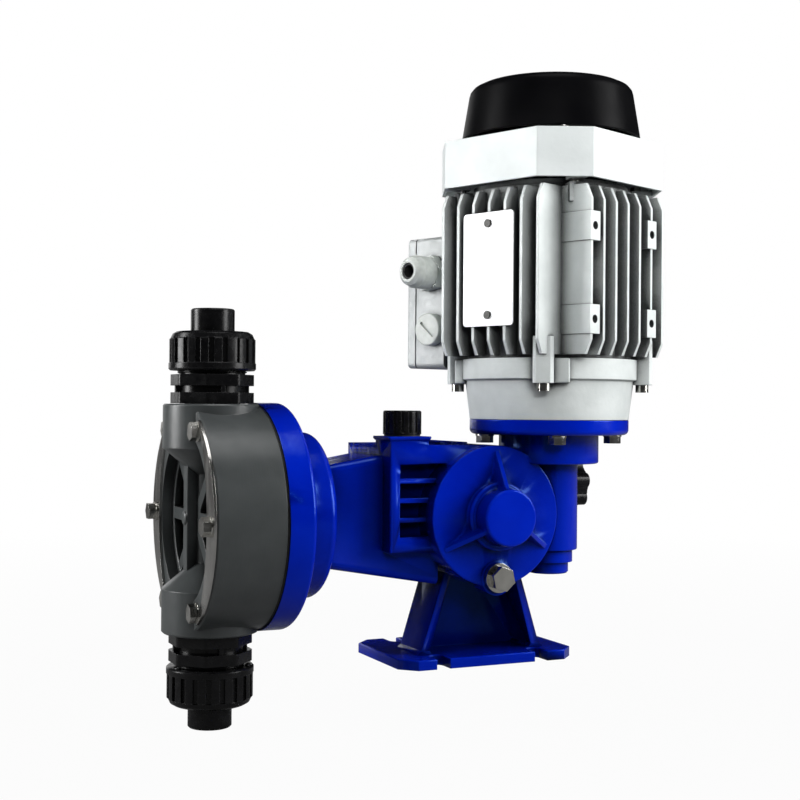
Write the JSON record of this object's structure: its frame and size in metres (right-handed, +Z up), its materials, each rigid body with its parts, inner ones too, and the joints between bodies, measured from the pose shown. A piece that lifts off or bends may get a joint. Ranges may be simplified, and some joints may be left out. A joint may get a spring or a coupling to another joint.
{
  "type": "diaphragm metering pump",
  "caption": "Motor-driven diaphragm metering pump: upright finned motor on a footed worm gearbox, round pump head at the side with unions above and below.",
  "frame": {"origin": "centre of the foot plate's underside", "axes": "+Z up along the motor, the pump head looks along -X, the round face of the gearbox looks along -Y"},
  "size_m": [0.3257, 0.1747, 0.413],
  "materials": {
    "blue_paint": "gloss",
    "head_grey": "satin",
    "black_plastic": "satin",
    "motor_grey": "satin",
    "cowl_grey": "satin",
    "canopy_black": "gloss",
    "stainless": "brushed",
    "steel": "machined",
    "bronze": "machined",
    "copper": "varnished",
    "rubber": "matt",
    "white_plastic": "satin",
    "plate": "satin",
    "ball": "polished ceramic"
  },
  "bodies": {
    "casing": {"gear_housing": "blue_paint", "far_cover": "blue_paint", "worm_end_cap": "blue_paint", "cover_screws": "stainless", "drain_plug": "stainless", "plug_seals": "rubber", "gear_bearings": "steel", "worm_seal": "rubber", "diaphragm": "rubber", "guide_bush": "bronze", "rod_seal": "rubber", "return_spring": "steel", "adjuster_bush": "steel", "pump_head": "head_grey", "head_plates": "stainless", "head_washers": "stainless", "head_bolts": "stainless", "end_shield": "motor_grey", "motor_frame": "motor_grey", "stator": "steel", "windings": "copper", "motor_bearings": "steel", "back_shield": "motor_grey", "fan_cowl": "cowl_grey", "canopy": "canopy_black", "terminal_box": "motor_grey", "box_gasket": "rubber", "box_lid": "motor_grey", "lid_screws": "stainless", "gland_body": "white_plastic", "gland_nut": "white_plastic", "gland_sleeve": "rubber", "blanking_plug": "white_plastic", "name_plate": "plate", "plate_rivets": "stainless", "shield_screws": "stainless", "cowl_screws": "stainless", "flange_bolts": "stainless", "discharge_valve_body": "black_plastic", "suction_valve_body": "black_plastic", "valve_seats": "white_plastic", "valve_cages": "white_plastic", "valve_seals": "rubber", "tailpieces": "black_plastic"},
    "drive_shaft": {"worm_shaft": "steel", "motor_shaft": "steel", "rotor": "steel", "fan": "black_plastic"},
    "eccentric": {"eccentric_shaft": "steel", "worm_wheel": "bronze", "cam_ring": "steel"},
    "plunger": {"plunger": "steel", "diaphragm_disc": "steel"},
    "spindle": {"stroke_spindle": "steel"},
    "knob": {"stroke_knob": "black_plastic"},
    "suction_ball": {"suction_ball": "ball"},
    "discharge_ball": {"discharge_ball": "ball"},
    "suction_nut": {"suction_union_nut": "black_plastic"},
    "discharge_nut": {"discharge_union_nut": "black_plastic"},
    "filler_cap": {"oil_cap": "black_plastic"}
  },
  "joints": [
    {"name": "motor_spin", "type": "hinge", "parent": "casing", "child": "drive_shaft", "pos_m": [0.047, -0.03, 0.0965], "axis": [0, 0, 1], "continuous": true},
    {"name": "eccentric_spin", "type": "hinge", "parent": "casing", "child": "eccentric", "pos_m": [-0.003, 0, 0.0965], "axis": [0, 1, 0], "continuous": true},
    {"name": "stroke_knob_turn", "type": "hinge", "parent": "casing", "child": "knob", "pos_m": [0.079, 0, 0.1125], "axis": [1, 0, 0], "range_deg": [0, 1080]},
    {"name": "stroke_spindle_travel", "type": "slide", "parent": "casing", "child": "spindle", "axis": [1, 0, 0], "range_m": [0, 0.006]},
    {"name": "plunger_stroke", "type": "slide", "parent": "casing", "child": "plunger", "axis": [1, 0, 0], "range_m": [0, 0.006], "deforming": ["return_spring", "diaphragm"]},
    {"name": "suction_ball_lift", "type": "slide", "parent": "casing", "child": "suction_ball", "axis": [0, 0, 1], "range_m": [0, 0.003]},
    {"name": "discharge_ball_lift", "type": "slide", "parent": "casing", "child": "discharge_ball", "axis": [0, 0, 1], "range_m": [0, 0.003]},
    {"name": "suction_nut_turn", "type": "hinge", "parent": "casing", "child": "suction_nut", "pos_m": [-0.1757, 0, -0.0035], "axis": [0, 0, 1], "continuous": true},
    {"name": "discharge_nut_turn", "type": "hinge", "parent": "casing", "child": "discharge_nut", "pos_m": [-0.1757, 0, 0.1965], "axis": [0, 0, 1], "continuous": true},
    {"name": "oil_cap_turn", "type": "hinge", "parent": "casing", "child": "filler_cap", "pos_m": [-0.0594, -0.028, 0.15], "axis": [0, 0, 1], "continuous": true}
  ],
  "couplings": [
    {"joint": "eccentric_spin", "follows": "motor_spin", "ratio": 0.066667},
    {"joint": "stroke_spindle_travel", "follows": "plunger_stroke", "ratio": 1},
    {"joint": "stroke_knob_turn", "follows": "plunger_stroke", "rad_per_m": 3141.6}
  ]
}
